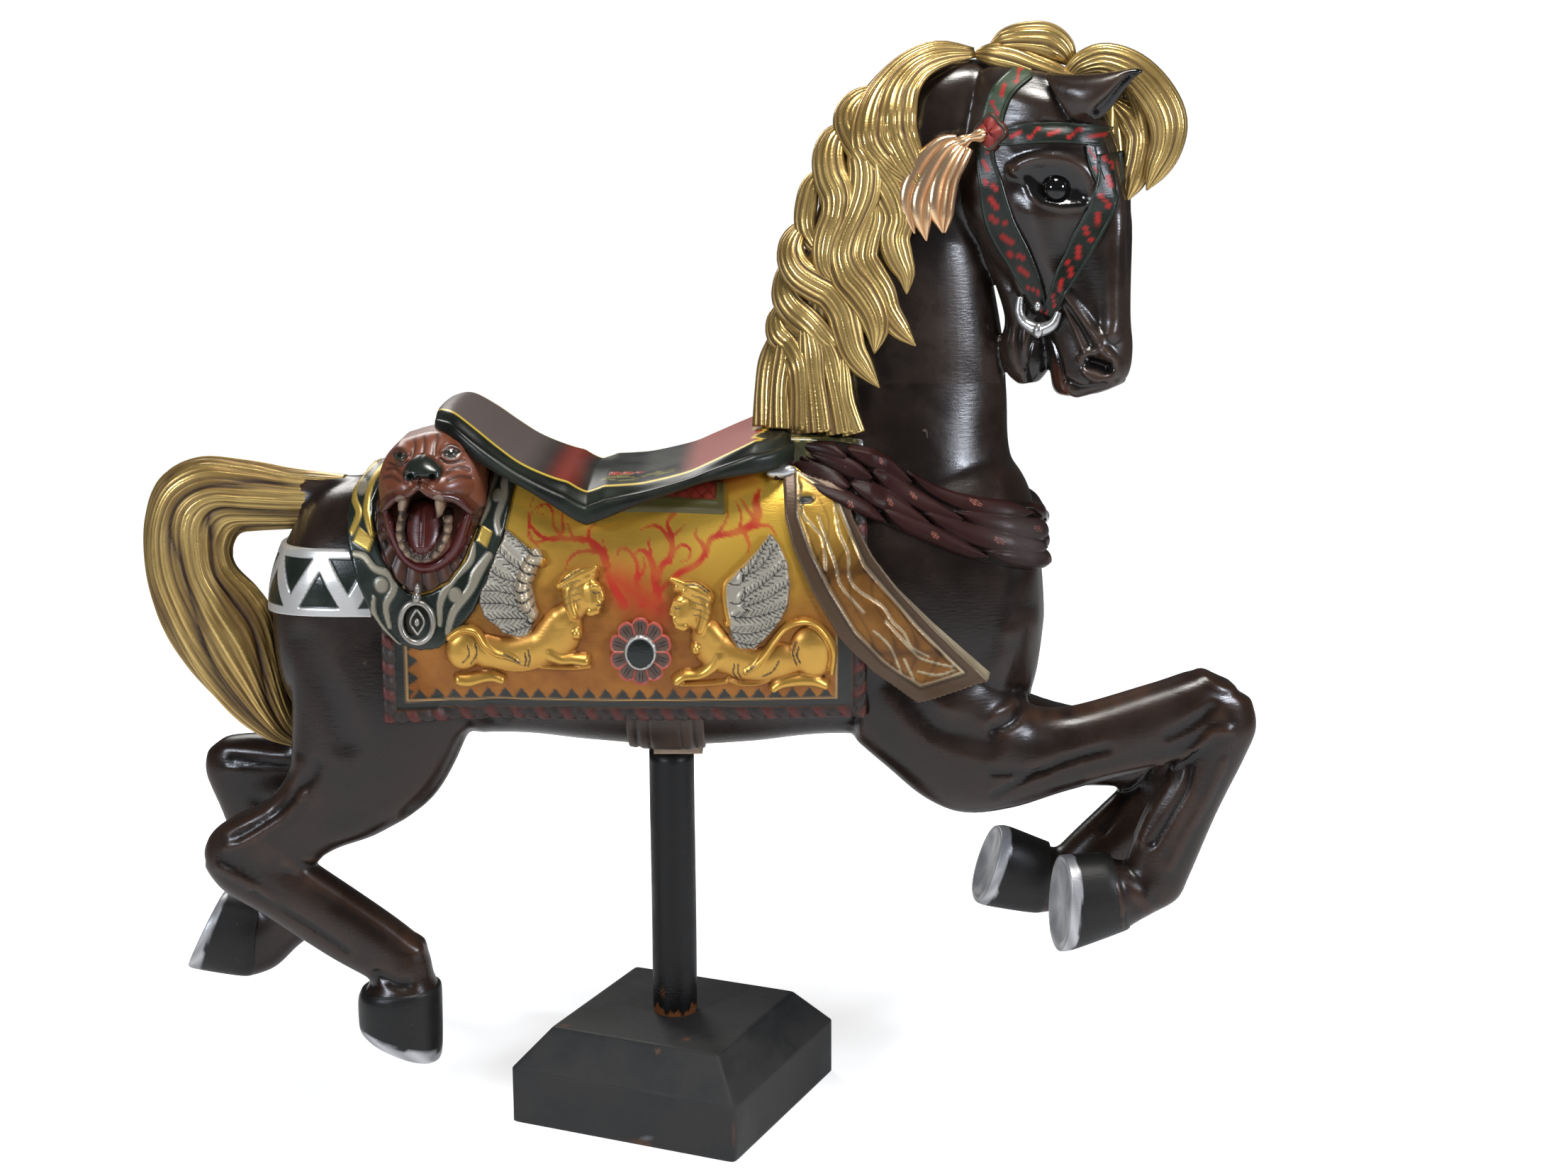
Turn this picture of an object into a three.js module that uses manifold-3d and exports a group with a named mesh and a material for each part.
// A carved and painted carousel horse on a round post in a bevelled wooden plinth.
// Millimetres, +Z up, the horse faces +X, its near (dressed) side faces -Y.
// The origin is the middle of the plinth's underside.
import * as THREE from "three";
import { mergeVertices } from "three/addons/utils/BufferGeometryUtils.js";
import Module from "manifold-3d";

const wasm = await Module();
wasm.setup();

// ---------------------------------------------------------------- driving dimensions
const PLINTH = { side: 338, wall: 79, height: 129, bevel: 42, turn: -0.4155 };
const POST = { radius: 31, bottom: 50, sides: 24 };
const FIT_GAP = 0.4; // clearance kept between two pieces that meet
const SOCKET_GAP = 1.5; // the post's hole in the plinth is a little loose
const LEG_Y = 84; // sideways distance of the leg centres from the middle
const HEAD_TURN = -0.42; // the head looks towards the near side
const HEAD_PIVOT = [400, 0]; // x, y of the upright line that the head turns about
const NEAR = -1; // the dressed side, towards -Y
const FAR = 1; // the plainer side, towards +Y

// Thickness of each layer of the harness above the bare horse.
const LAYER = { blanket: 10, pad: 18, strap: 17, flap: 18, drape: 15, block: 21, band: 5, girth: 7 };

// ---------------------------------------------------------------- ribs
// A rib is [x1, z1, x2, z2, halfWidth]: it runs from a point on one outline of the side view
// to the point that faces it on the other outline, and is halfWidth wide to each side.
const TRUNK = [
  [-528, 740, -527, 690, 40],
  [-514, 792, -517, 610, 92],
  [-480, 850, -490, 560, 122],
  [-420, 884, -430, 535, 140],
  [-220, 915, -220, 540, 148],
  [-110, 895, -110, 530, 153],
  [0, 890, 0, 522, 156],
  [110, 922, 110, 526, 156],
  [220, 930, 225, 536, 152],
  [400, 930, 415, 525, 138],
  [452, 912, 462, 552, 120],
  [483, 868, 490, 600, 92],
  [496, 795, 505, 690, 45],
];
const NECK = [
  [130, 850, 478, 850, 118],
  [140, 945, 457, 925, 98],
  [150, 1030, 453, 1000, 80],
  [170, 1110, 444, 1075, 70],
  [195, 1190, 430, 1150, 64],
  [225, 1265, 415, 1220, 60],
  [260, 1335, 420, 1285, 58],
  [305, 1395, 445, 1330, 56],
  [360, 1424, 465, 1370, 48],
  [410, 1428, 480, 1405, 30],
];
// The head's ribs lie in its own plane, before it turns about HEAD_PIVOT.
const SKULL = [
  [455, 1428, 400, 1400, 36],
  [515, 1415, 384, 1358, 55],
  [566, 1382, 378, 1310, 66],
  [594, 1330, 382, 1262, 69],
  [607, 1275, 396, 1215, 66],
  [612, 1220, 424, 1168, 54],
  [615, 1165, 458, 1122, 42],
  [618, 1110, 500, 1084, 36],
  [623, 1060, 514, 1042, 38],
  [617, 1024, 524, 1004, 36],
  [592, 1007, 548, 998, 24],
];
const JAW = [
  [425, 1175, 510, 1140, 34],
  [452, 1100, 505, 1096, 28],
  [445, 1058, 512, 1066, 29],
  [456, 1026, 514, 1036, 25],
  [474, 1010, 500, 1014, 14],
];
const TAIL = [
  [-430, 888, -440, 822, 34],
  [-500, 897, -500, 815, 38],
  [-560, 908, -555, 812, 42],
  [-628, 914, -575, 808, 46],
  [-678, 888, -583, 797, 48],
  [-703, 831, -584, 783, 50],
  [-708, 758, -575, 762, 50],
  [-697, 692, -548, 735, 48],
  [-672, 637, -527, 700, 46],
  [-636, 590, -517, 650, 44],
  [-598, 551, -510, 600, 38],
  [-556, 523, -507, 560, 28],
  [-521, 512, -508, 532, 12],
];
// Each leg is two lofts that meet in the joint, and a hoof. The ribs of the hoof end at the sole.
const LEGS = {
  near_hind_leg: {
    side: NEAR,
    upper: [
      [-500, 760, -300, 790, 50],
      [-505, 690, -265, 700, 58],
      [-496, 600, -258, 592, 61],
      [-505, 503, -310, 475, 52],
      [-540, 460, -385, 420, 42],
      [-585, 437, -450, 395, 36],
      [-614, 414, -505, 362, 34],
      [-624, 386, -562, 344, 24],
    ],
    lower: [
      [-622, 372, -592, 418, 22],
      [-600, 339, -545, 412, 33],
      [-545, 303, -492, 375, 32],
      [-462, 245, -414, 319, 30],
      [-410, 214, -346, 264, 30],
      [-405, 207, -332, 240, 32],
      [-408, 202, -328, 214, 35],
      [-425, 184, -315, 190, 46],
    ],
    hoof: [[-422, 195, -316, 201, 44], [-427, 181, -314, 187, 49], [-427, 146, -316, 106, 51], [-424, 139, -323, 93, 50]],
  },
  far_hind_leg: {
    side: FAR,
    upper: [
      [-470, 760, -290, 790, 50],
      [-480, 680, -262, 690, 58],
      [-490, 600, -262, 590, 60],
      [-515, 535, -325, 470, 54],
      [-550, 508, -425, 412, 44],
      [-595, 506, -520, 400, 38],
      [-634, 499, -575, 395, 34],
      [-654, 476, -612, 398, 26],
    ],
    lower: [
      [-650, 485, -592, 498, 24],
      [-656, 455, -568, 470, 32],
      [-634, 392, -548, 412, 31],
      [-606, 297, -520, 304, 30],
      [-594, 256, -520, 226, 32],
      [-596, 260, -548, 194, 33],
      [-600, 263, -578, 166, 36],
      [-606, 268, -614, 154, 46],
    ],
    hoof: [[-590, 266, -598, 158, 44], [-608, 269, -618, 152, 49], [-637, 274, -684, 163, 51], [-644, 274, -697, 168, 50]],
  },
  near_fore_leg: {
    side: NEAR,
    upper: [
      [295, 730, 250, 545, 48],
      [360, 690, 292, 508, 58],
      [425, 640, 342, 466, 61],
      [467, 600, 394, 445, 58],
      [486, 583, 460, 452, 51],
      [540, 583, 533, 475, 44],
      [645, 614, 645, 505, 40],
      [708, 632, 712, 528, 38],
      [752, 611, 762, 545, 30],
    ],
    lower: [
      [770, 596, 706, 606, 28],
      [779, 560, 690, 548, 37],
      [766, 520, 678, 506, 35],
      [730, 440, 643, 438, 32],
      [697, 355, 622, 384, 31],
      [682, 322, 618, 364, 33],
      [652, 304, 610, 362, 34],
      [626, 289, 596, 368, 38],
      [609, 275, 583, 378, 47],
    ],
    hoof: [[620, 279, 594, 378, 44], [608, 273, 580, 380, 50], [541, 249, 547, 378, 52, -0.18], [523, 246, 531, 377, 50, -0.18]],
  },
  far_fore_leg: {
    side: FAR,
    upper: [
      [295, 730, 255, 545, 48],
      [360, 690, 300, 505, 58],
      [420, 630, 352, 455, 60],
      [462, 582, 415, 434, 56],
      [500, 556, 490, 430, 46],
      [560, 537, 560, 432, 42],
      [630, 531, 627, 431, 40],
      [688, 528, 684, 433, 37],
      [724, 508, 726, 456, 28],
    ],
    lower: [
      [690, 518, 744, 478, 26],
      [665, 478, 742, 430, 35],
      [640, 432, 712, 376, 33],
      [602, 392, 668, 328, 31],
      [573, 363, 636, 296, 31],
      [554, 343, 612, 268, 33],
      [541, 330, 576, 254, 34],
      [528, 334, 545, 249, 37],
      [516, 346, 510, 244, 46],
    ],
    hoof: [[530, 342, 524, 248, 44], [515, 348, 508, 242, 49], [475, 365, 438, 253, 51, -0.12], [459, 366, 424, 259, 50, -0.12]],
  },
};

// ---------------------------------------------------------------- materials
const paint = (color, roughness, metalness = 0) =>
  new THREE.MeshStandardMaterial({ color, roughness, metalness });
const BROWN_PAINT = paint(0x2e2520, 0.35);
const GOLD_LEAF = paint(0xb58a2c, 0.35, 0.9);
const BLACK_PAINT = paint(0x1b1c1c, 0.6);

// ---------------------------------------------------------------- solids
// A closed three.js geometry as a solid that can be joined and cut.
function solid(geometry) {
  const bare = new THREE.BufferGeometry().setAttribute(
    "position",
    (geometry.index ? geometry.toNonIndexed() : geometry).getAttribute("position"),
  );
  const merged = mergeVertices(bare, 1e-3);
  return new wasm.Manifold(
    new wasm.Mesh({
      numProp: 3,
      vertProperties: new Float32Array(merged.getAttribute("position").array),
      triVerts: new Uint32Array(merged.index.array),
    }),
  );
}

const join = (parts) => parts.reduce((sum, part) => sum.add(part));

// The solid as a named mesh.
function piece(name, made, material) {
  const shape = made.getMesh();
  const stride = shape.numProp;
  const position = new Float32Array(shape.numVert * 3);
  for (let i = 0; i < shape.numVert; i++) {
    position.set(shape.vertProperties.subarray(i * stride, i * stride + 3), i * 3);
  }
  const geometry = new THREE.BufferGeometry()
    .setAttribute("position", new THREE.BufferAttribute(position, 3))
    .setIndex(new THREE.BufferAttribute(shape.triVerts, 1));
  geometry.computeVertexNormals();
  const mesh = new THREE.Mesh(geometry, material);
  mesh.name = name;
  return mesh;
}

// Smooth values between the rows of a table: a Catmull-Rom curve through each column.
function refine(rows, perRow) {
  const row = (i) => rows[Math.min(Math.max(i, 0), rows.length - 1)];
  const columns = Math.max(...rows.map((r) => r.length));
  const made = [];
  for (let i = 0; i + 1 < rows.length; i++) {
    for (let k = 0; k < perRow; k++) {
      const t = k / perRow;
      made.push(
        Array.from({ length: columns }, (_, c) => {
          const [a, b, d, e] = [row(i - 1), row(i), row(i + 1), row(i + 2)].map((r) => r[c] ?? 0);
          return 0.5 * (2 * b + (d - a) * t + (2 * a - 5 * b + 4 * d - e) * t * t + (3 * b - a - 3 * d + e) * t ** 3);
        }),
      );
    }
  }
  made.push(Array.from({ length: columns }, (_, c) => rows.at(-1)[c] ?? 0));
  return made;
}

// A skin over closed rings of equally many points, with a flat cap at each end.
function skin(rings) {
  const sides = rings[0].length;
  const points = [];
  const index = [];
  rings.forEach((ring) => ring.forEach((p) => points.push(...p)));
  const middle = (ring) => [0, 1, 2].map((k) => ring.reduce((s, p) => s + p[k], 0) / sides);
  points.push(...middle(rings[0]), ...middle(rings.at(-1)));
  const first = rings.length * sides;
  const last = first + 1;
  const end = (rings.length - 1) * sides;
  for (let j = 0; j < sides; j++) {
    const k = (j + 1) % sides;
    for (let i = 0; i + 1 < rings.length; i++) {
      const [a, b, c, d] = [i * sides + j, i * sides + k, (i + 1) * sides + k, (i + 1) * sides + j];
      index.push(a, b, c, a, c, d);
    }
    index.push(first, k, j, last, end + j, end + k);
  }
  const geometry = new THREE.BufferGeometry()
    .setAttribute("position", new THREE.BufferAttribute(new Float32Array(points), 3))
    .setIndex(index);
  const made = solid(geometry);
  if (made.volume() > 0) return made;
  for (let i = 0; i < index.length; i += 3) [index[i], index[i + 1]] = [index[i + 1], index[i]];
  return solid(geometry.setIndex(index));
}

// Moves a rib away from its neighbour by a distance.
function pushOut(rib, neighbour, distance) {
  const [dx, dz] = [0, 1].map((c) => (rib[c] + rib[c + 2] - neighbour[c] - neighbour[c + 2]) / 2);
  const long = Math.hypot(dx, dz);
  [0, 2].forEach((c) => {
    rib[c] += (dx * distance) / long;
    rib[c + 1] += (dz * distance) / long;
  });
}

// The loft over a table of ribs. grow makes it thicker all round, and power squares its section.
function loft(ribs, { y = 0, sides = 16, grow = 0, power = 2.2 } = {}) {
  const rows = ribs.map((rib) => [...rib]);
  pushOut(rows[0], rows[1], grow);
  pushOut(rows.at(-1), rows.at(-2), grow);
  const rings = rows.map(([x1, z1, x2, z2, half, skew = 0]) => {
    const reach = Math.hypot(x2 - x1, z2 - z1) / 2;
    const stretch = (reach + grow) / reach;
    return Array.from({ length: sides }, (_, j) => {
      const angle = (2 * Math.PI * (j + 0.5)) / sides;
      const round = (v) => Math.sign(v) * Math.abs(v) ** (2 / power);
      const along = round(Math.cos(angle)) * stretch;
      const across = round(Math.sin(angle)) * (half + grow);
      const x = (x1 + x2) / 2 + (along * (x2 - x1)) / 2;
      const z = (z1 + z2) / 2 + (along * (z2 - z1)) / 2;
      return [x + skew * across, y + across, z];
    });
  });
  return skin(rings);
}

// An outline of the side view pushed through from y = from to y = to.
function prism(outline, from, to) {
  const shape = new THREE.Shape(outline.map(([x, z]) => new THREE.Vector2(x, z)));
  const depth = to - from;
  const geometry = new THREE.ExtrudeGeometry(shape, { depth, bevelEnabled: false, curveSegments: 8 });
  return solid(geometry.rotateX(Math.PI / 2).translate(0, to, 0));
}

// A smooth line through a few points, as equally many new points.
function smoothLine(points, count, closed = false) {
  const curve = new THREE.CatmullRomCurve3(points.map(([x, z]) => new THREE.Vector3(x, 0, z)), closed);
  return curve.getPoints(count).map((p) => [p.x, p.z]).slice(0, closed ? count : count + 1);
}

// A band of the side view: a line of the given width, as a closed outline.
function bandOutline(line, width) {
  const side = (s) =>
    line.map(([x, z], i) => {
      const [a, b] = [line[Math.max(i - 1, 0)], line[Math.min(i + 1, line.length - 1)]];
      const long = Math.hypot(b[0] - a[0], b[1] - a[1]);
      return [x - (s * width * (b[1] - a[1])) / long / 2, z + (s * width * (b[0] - a[0])) / long / 2];
    });
  return [...side(1), ...side(-1).reverse()];
}

// An ellipsoid at a place, tilted in the side view.
function egg([x, y, z], [rx, ry, rz], tilt = 0, across = 12, down = 8) {
  const ball = new THREE.SphereGeometry(1, across, down).rotateX(Math.PI / 2);
  return solid(ball.scale(rx, ry, rz).rotateY(tilt).translate(x, y, z));
}

// A tapering strand along a path of [x, y, z, radius], flattened sideways.
function strand(path, { sides = 6, perPoint = 2, flat = 0.6, y = null } = {}) {
  const rows = refine(path, perPoint);
  const rings = rows.map(([x, cy, z, radius], i) => {
    const [a, b] = [rows[Math.max(i - 1, 0)], rows[Math.min(i + 1, rows.length - 1)]];
    const long = Math.hypot(b[0] - a[0], b[2] - a[2]) || 1;
    const [ux, uz] = [-(b[2] - a[2]) / long, (b[0] - a[0]) / long];
    return Array.from({ length: sides }, (_, j) => {
      const angle = (2 * Math.PI * j) / sides;
      const reach = radius * Math.cos(angle);
      return [x + ux * reach, (y ?? cy) + radius * flat * Math.sin(angle), z + uz * reach];
    });
  });
  return skin(rings);
}

// ---------------------------------------------------------------- the bare horse
const TRUNK_POWER = 2.5;
const trunk = (grow = 0) => loft(TRUNK, { sides: 14, grow, power: TRUNK_POWER });
const neck = (grow = 0) => loft(NECK, { sides: 12, grow });
const thigh = (name, grow = 0) =>
  loft(LEGS[name].upper, { y: LEGS[name].side * LEG_Y, sides: 9, grow: grow + 3, power: 2.3 });

function leg(name) {
  const { side, lower, hoof } = LEGS[name];
  const y = side * LEG_Y;
  return join([thigh(name), loft(lower, { y, sides: 7, grow: 4 }), loft(hoof, { y, sides: 10 })]);
}

// The rump, the barrel and the neck's root together, grown by the height of a layer of harness.
const coats = new Map();
function coat(grow) {
  if (!coats.has(grow)) {
    const parts = [trunk(grow), neck(grow), thigh("near_hind_leg", grow), thigh("far_hind_leg", grow)];
    coats.set(grow, join(parts));
  }
  return coats.get(grow);
}

// How far out the barrel's near surface is at a place in the side view.
function barrelY(x, z) {
  const rows = refine(TRUNK, 4);
  const i = rows.findIndex((r) => r[0] > x);
  const t = (x - rows[i - 1][0]) / (rows[i][0] - rows[i - 1][0]);
  const [, top, , bottom, half] = rows[i].map((v, c) => rows[i - 1][c] + t * (v - rows[i - 1][c]));
  const height = Math.abs(2 * z - top - bottom) / (top - bottom);
  return -half * (1 - Math.min(height, 1) ** TRUNK_POWER) ** (1 / TRUNK_POWER);
}

// ---------------------------------------------------------------- harness on the body
const REACH = 300; // further out to each side than anything on the body
const worn = (grow, outline, from = -REACH, to = REACH) => coat(grow).intersect(prism(outline, from, to));
const rectangle = (x0, z0, x1, z1) => [[x0, z0], [x1, z0], [x1, z1], [x0, z1]];

const BLANKET = { left: -368, right: 262, bottom: 590, top: 905 };
const SEAT = [
  [-292, 950, -290, 850, 70],
  [-278, 990, -270, 850, 120],
  [-240, 968, -240, 830, 150],
  [-180, 925, -180, 790, 164],
  [-100, 902, -100, 760, 170],
  [0, 903, 0, 780, 170],
  [80, 930, 80, 800, 165],
  [130, 962, 130, 820, 152],
  [165, 955, 160, 840, 130],
];
const SKIRT = [
  [-300, 962], [-262, 952], [-240, 927], [-180, 896], [-95, 848], [-20, 876], [60, 902], [140, 912],
  [170, 930], [170, 1010], [-300, 1010],
];

function saddle() {
  const seat = loft(SEAT, { sides: 14, power: 2.8 });
  return seat.intersect(prism(SKIRT, -REACH, REACH));
}

function blanket() {
  const { left, right, bottom, top } = BLANKET;
  const cloth = worn(LAYER.blanket, rectangle(left, bottom, right, top));
  return cloth.add(worn(LAYER.pad, rectangle(-75, 850, 80, 915)));
}

const STRAP_LINE = [[-372, 905], [-395, 855], [-398, 800], [-372, 742], [-325, 705], [-278, 745], [-238, 800], [-215, 860], [-200, 905]];
const HIP_BAND = rectangle(-560, 700, -395, 786);
const GIRTH = rectangle(-55, 480, 50, 600);
const FLAP_LINE = [[192, 885], [205, 820], [250, 740], [312, 672], [380, 625]];
const DRAPE = [
  [125, 945], [250, 932], [350, 903], [420, 872], [485, 850], [560, 838],
  [560, 772], [485, 772], [440, 778], [380, 798], [300, 838], [230, 865], [125, 892],
];

function harness() {
  return join([
    worn(LAYER.strap, bandOutline(smoothLine(STRAP_LINE, 9), 42), -REACH, 0),
    worn(LAYER.band, HIP_BAND),
    worn(LAYER.girth, GIRTH),
    worn(LAYER.flap, bandOutline(smoothLine(FLAP_LINE, 6), 96)),
    worn(LAYER.drape, DRAPE),
    worn(LAYER.block, rectangle(150, 920, 258, 949), -95, 95),
  ]);
}

// ---------------------------------------------------------------- carvings on the near side
// One winged sphinx lying down. u runs from the rosette's middle outwards, along the side it lies on.
const ROSETTE = { x: -30, z: 686, radius: 42, petals: 10 };
function sphinx(facing) {
  const at = (u, z, out = 0) => [ROSETTE.x - facing * u, barrelY(ROSETTE.x - facing * u, z) - LAYER.blanket - out, z];
  const lump = (u, z, out, radii) => egg(at(u, z, out), radii, 0, 6, 4);
  const limb = (points) => strand(points.map(([u, z, radius, out = 2]) => [...at(u, z, out), radius]), { sides: 4, perPoint: 1 });
  const wing = [0, 1].map((k) => {
    const lean = 1.4 * k;
    return limb([
      [105, 726 + 4 * k, 9],
      [118 + 22 * lean, 778 - 12 * k, 17],
      [132 + 62 * Math.sin(lean * 0.9), 822 - 31 * k, 7],
    ]);
  });
  return join([
    lump(62, 752, 8, [20, 16, 21]),
    limb([[88, 742, 18], [96, 712, 24, 4], [150, 690, 24], [215, 680, 30, 3], [240, 672, 14]]),
    limb([[96, 690, 12, 4], [74, 662, 9, 4], [38, 650, 9]]),
    limb([[215, 668, 20, 4], [232, 645, 10], [165, 640, 9]]),
    limb([[243, 682, 8], [240, 708, 7], [196, 712, 6], [168, 690, 5]]),
    ...wing,
  ]);
}

function rosette() {
  const { x, z, radius, petals } = ROSETTE;
  const outline = Array.from({ length: petals * 2 }, (_, k) => {
    const reach = radius * [0.84, 1][k % 2];
    const angle = (Math.PI * k) / petals;
    return [x + reach * Math.cos(angle), z + reach * Math.sin(angle)];
  });
  const face = barrelY(x, z) - LAYER.blanket;
  return join([prism(outline, face - 8, face + 25), egg([x, face - 7, z], [19, 9, 19], 0, 8, 4)]);
}

// The roaring lion's head that hangs on the rump, and its ring.
const LION = { x: -302, y: -128, z: 895 };
const PENDANT = { x: -317, y: -166, z: 724, radius: 21, wire: 4.5 };
function lion() {
  const { x, y, z } = LION;
  const part = (dx, dy, dz, radii, tilt = 0) => egg([x + dx, y + dy, z + dz], radii, tilt, 8, 5);
  const head = join([
    part(0, 10, 0, [68, 72, 70]),
    part(-28, -40, 0, [30, 26, 25]),
    part(24, -40, 0, [30, 26, 25]),
    part(-4, -48, 26, [20, 20, 16]),
    part(-2, 12, -66, [58, 56, 56]),
  ]);
  const mouth = egg([x - 2, y - 58, z - 58], [37, 46, 42], 0, 8, 5);
  const tongue = egg([x - 2, y - 22, z - 72], [24, 24, 28], 0, 8, 5);
  const ring = new THREE.TorusGeometry(PENDANT.radius, PENDANT.wire, 4, 10).rotateX(Math.PI / 2);
  ring.scale(1, 1, 1.15).translate(PENDANT.x, PENDANT.y, PENDANT.z);
  const knob = egg([PENDANT.x, PENDANT.y, PENDANT.z + 30], [10, 14, 10], 0, 6, 4);
  return join([head.subtract(mouth), tongue, solid(ring), knob]);
}

// ---------------------------------------------------------------- head
const turnHead = (made) => {
  const [x, y] = HEAD_PIVOT;
  return made.translate([-x, -y, 0]).rotate([0, 0, (HEAD_TURN * 180) / Math.PI]).translate([x, y, 0]);
};
const skull = (grow = 0) => loft(SKULL, { sides: 11, grow });

function ear(side) {
  const path = [[540, side * 38, 1352, 26], [570, side * 48, 1382, 25], [610, side * 52, 1402, 20], [648, side * 54, 1413, 4]];
  return strand(path, { sides: 6, perPoint: 1, flat: 0.75 });
}

const STRAPS = [
  { line: [[400, 1420], [449, 1337]], width: 26 },
  { line: [[449, 1337], [640, 1334]], width: 26 },
  { line: [[445, 1335], [462, 1220], [504, 1108]], width: 32 },
  { line: [[618, 1325], [560, 1210], [506, 1108]], width: 22 },
];
const STRAP_HEIGHT = 5;

function bridle() {
  const bands = STRAPS.map(({ line, width }) => {
    return skull(STRAP_HEIGHT).intersect(prism(bandOutline(line, width), -REACH, REACH));
  });
  const sides = [NEAR, FAR].flatMap((side) => {
    const ring = new THREE.TorusGeometry(19, 4, 4, 8).rotateX(Math.PI / 2).translate(506, side * 40, 1094);
    const diamond = egg([449, side * 62, 1337], [23, 12, 23], 0, 4, 4);
    return [solid(ring), diamond];
  });
  return join([...bands, ...sides]);
}

function head() {
  const eyes = [NEAR, FAR].map((side) => egg([536, side * 56, 1271], [23, 13, 14], 0, 8, 4));
  const nostrils = [NEAR, FAR].map((side) => egg([592, side * 38, 1043], [14, 8, 9], 0, 6, 4));
  const bare = join([skull(), loft(JAW, { sides: 10 }), ear(NEAR), ear(FAR), ...eyes]);
  return turnHead(join([bare, bridle()]).subtract(join(nostrils)));
}

// ---------------------------------------------------------------- hair
// Rows of the mane's bulk, then its locks: each is a path of [x, y, z, radius].
const MANE = [
  [410, 1435, 380, 1398, 34],
  [360, 1442, 345, 1385, 40],
  [302, 1412, 330, 1350, 46],
  [250, 1370, 318, 1300, 50],
  [214, 1310, 308, 1235, 54],
  [188, 1238, 300, 1165, 58],
  [166, 1168, 296, 1095, 60],
  [152, 1095, 272, 1040, 62],
  [137, 1020, 248, 995, 62],
  [126, 940, 254, 935, 60],
];
const MANE_Y = -34;
const LOCKS = [
  [[395, -30, 1420, 12], [330, -58, 1385, 32], [306, -80, 1290, 34], [318, -96, 1180, 8]],
  [[285, -40, 1380, 16], [242, -66, 1300, 36], [272, -90, 1210, 36], [320, -100, 1122, 8]],
  [[222, -40, 1295, 16], [204, -66, 1210, 36], [255, -92, 1128, 36], [330, -104, 1056, 8]],
  [[190, -44, 1195, 16], [180, -72, 1110, 34], [222, -96, 1045, 34], [284, -106, 1000, 8]],
  [[168, -44, 1100, 16], [160, -78, 1020, 32], [190, -102, 925, 30]],
];
const FORELOCK = [
  [[505, -58, 1420, 14], [560, -78, 1420, 20], [610, -86, 1390, 24], [630, -86, 1335, 24], [618, -82, 1264, 6]],
  [[520, -50, 1415, 12], [572, -72, 1405, 18], [596, -74, 1365, 16], [586, -78, 1300, 14], [592, -80, 1246, 4]],
];
const TOPKNOT = [[395, -30, 1425, 8], [440, -36, 1434, 20], [490, -40, 1440, 24], [525, -46, 1416, 12]];
const TASSEL = [
  [[412, -82, 1334, 8], [352, -84, 1312, 14], [322, -92, 1262, 16], [336, -98, 1205, 5]],
  [[408, -84, 1330, 8], [386, -88, 1298, 20], [362, -98, 1245, 17], [368, -102, 1206, 5]],
];

function mane() {
  const bulk = loft(MANE, { y: MANE_Y, sides: 10 });
  const locks = [...LOCKS, ...FORELOCK, TOPKNOT, ...TASSEL];
  return join([bulk, ...locks.map((path) => strand(path, { sides: 4, perPoint: 1, flat: 0.75 }))]);
}

const tailLoft = () => loft(TAIL, { sides: 12 });
const STUB = [
  [-370, 885, -380, 800, 50],
  [-440, 888, -450, 820, 38],
  [-500, 893, -500, 822, 34],
];

// ---------------------------------------------------------------- stand
const RAIL = Math.PI / 4;
function plinth() {
  const { side, wall, height, bevel, turn } = PLINTH;
  const corner = side / Math.SQRT2;
  const block = new THREE.CylinderGeometry(corner, corner, wall, 4, 1);
  const slope = new THREE.CylinderGeometry(corner - bevel * Math.SQRT2, corner, height - wall, 4, 1);
  const place = (geometry, z) => solid(geometry.rotateX(Math.PI / 2).translate(0, 0, z).rotateZ(turn + RAIL));
  const body = join([place(block, wall / 2), place(slope, (wall + height) / 2)]);
  const hole = new THREE.CylinderGeometry(POST.radius + SOCKET_GAP, POST.radius + SOCKET_GAP, height, POST.sides);
  return body.subtract(solid(hole.rotateX(Math.PI / 2).translate(0, 0, POST.bottom - FIT_GAP + height / 2)));
}

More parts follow.
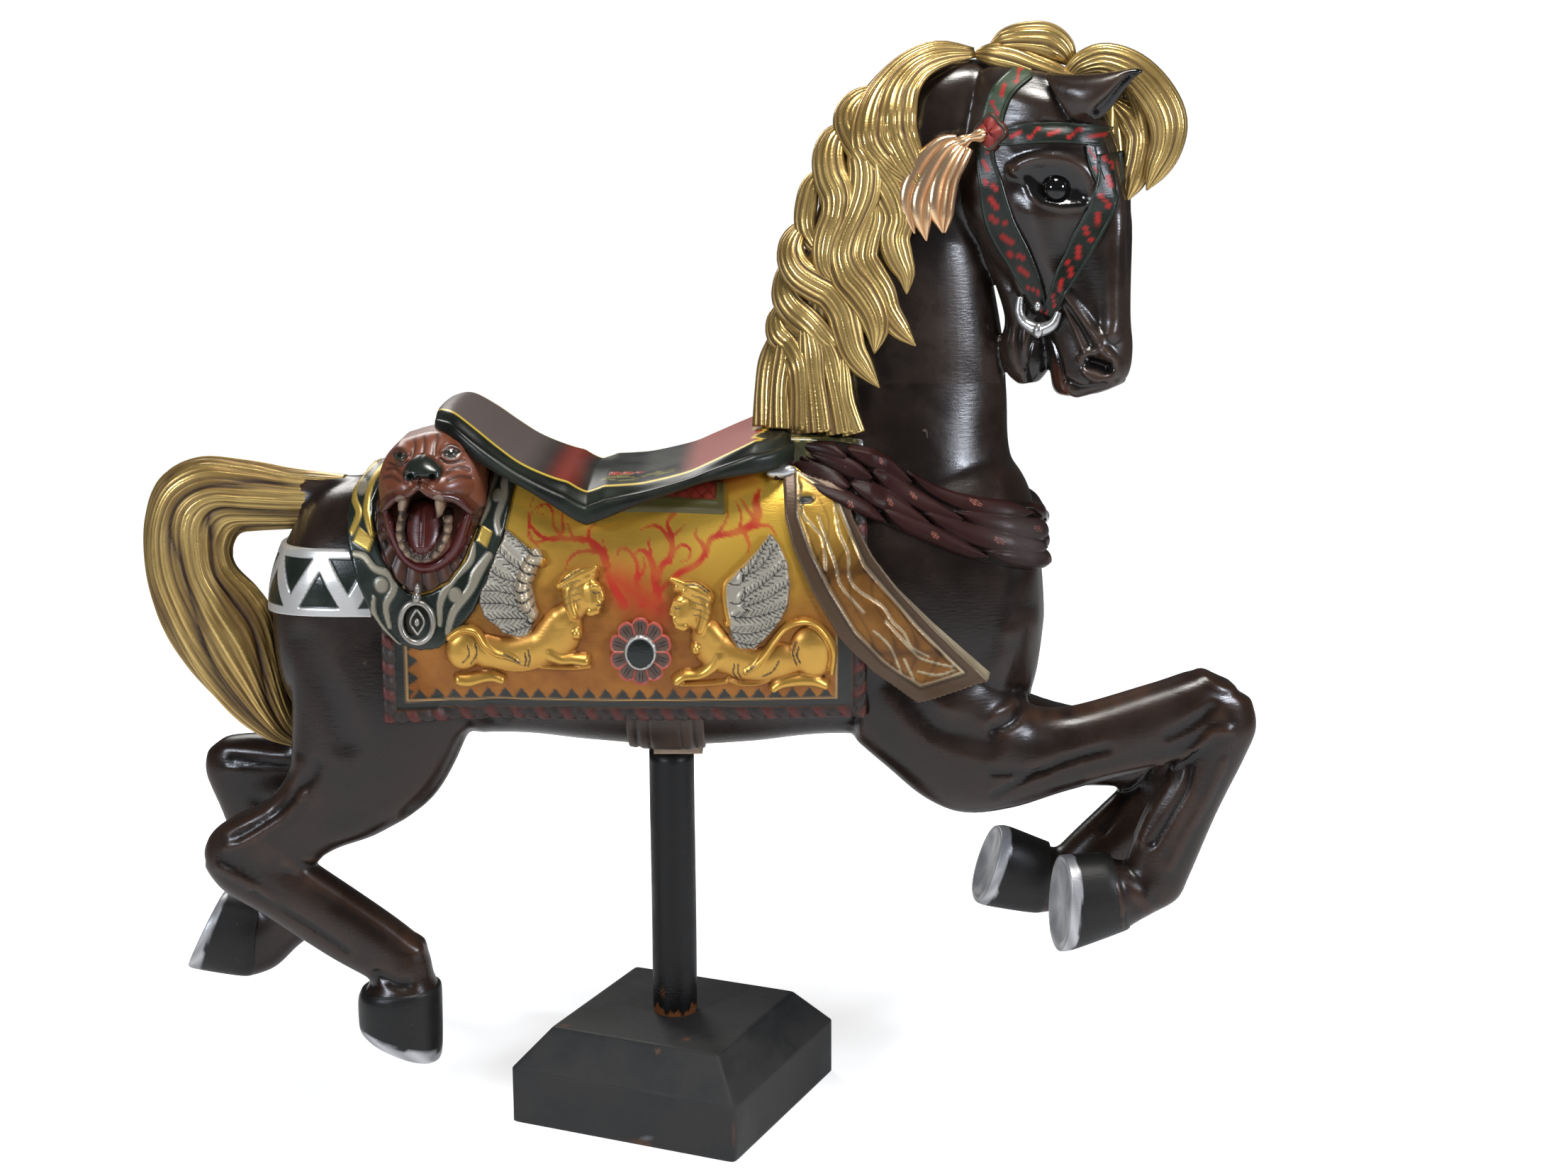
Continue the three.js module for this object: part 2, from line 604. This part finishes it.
const COLLAR = { left: -22, right: 42, bottom: 506, half: 34 };
const post = (radius = POST.radius, bottom = POST.bottom) => {
  const length = COLLAR.bottom - FIT_GAP - bottom;
  const rod = new THREE.CylinderGeometry(radius, radius, length, POST.sides).rotateX(Math.PI / 2);
  return solid(rod.translate(0, 0, bottom + length / 2));
};
const collar = () => prism(rectangle(COLLAR.left, COLLAR.bottom, COLLAR.right, 560), -COLLAR.half, COLLAR.half);

// ---------------------------------------------------------------- assembly
// Where the carver's blocks meet, as areas of the side view. Everything inside one is that block.
const NECK_AREA = [[90, 967], [150, 963], [165, 948], [300, 937], [470, 926], [900, 905], [900, 1600], [90, 1600]];
const FORE_AREA = [[400, 425], [512, 627], [560, 700], [900, 700], [900, 0], [385, 0]];
const HIND_AREA = [[-760, 769], [-110, 528], [-110, 0], [-760, 0]];
const TAIL_AREA = [[-484, 1000], [-484, 825], [-516, 800], [-450, 700], [-450, 400], [-800, 400], [-800, 1000]];
const across = (outline, shift = 0) => prism(outline, -REACH, REACH).translate([0, 0, shift]);

const bare = join([trunk(), neck(), loft(STUB, { sides: 14 }).subtract(across(TAIL_AREA))]);
const worked = join([bare, saddle(), blanket(), harness(), sphinx(1), sphinx(-1), rosette(), lion(), collar()]);
const legs = join(Object.keys(LEGS).map(leg));
const horse = worked.subtract(across(NECK_AREA, -FIT_GAP)).add(legs);
const body = horse.subtract(across(FORE_AREA, FIT_GAP)).subtract(across(HIND_AREA, FIT_GAP));
const neckAndHead = join([neck(), mane(), head()]).intersect(across(NECK_AREA));
const tail = tailLoft().intersect(across(TAIL_AREA)).subtract(coat(LAYER.band + FIT_GAP));

const pieces = [
  piece("plinth", plinth(), BLACK_PAINT),
  piece("pole", post(), BLACK_PAINT),
  piece("body", body, BROWN_PAINT),
  piece("neck_and_head", neckAndHead, BROWN_PAINT),
  piece("tail", tail, GOLD_LEAF),
];
for (const [name, { side }] of Object.entries(LEGS)) {
  const area = name.endsWith("fore_leg") ? FORE_AREA : HIND_AREA;
  const [from, to] = side === NEAR ? [-REACH, -FIT_GAP / 2] : [FIT_GAP / 2, REACH];
  pieces.push(piece(name, horse.intersect(prism(area, from, to)), BROWN_PAINT));
}

const group = new THREE.Group();
group.add(...pieces);

export default group;
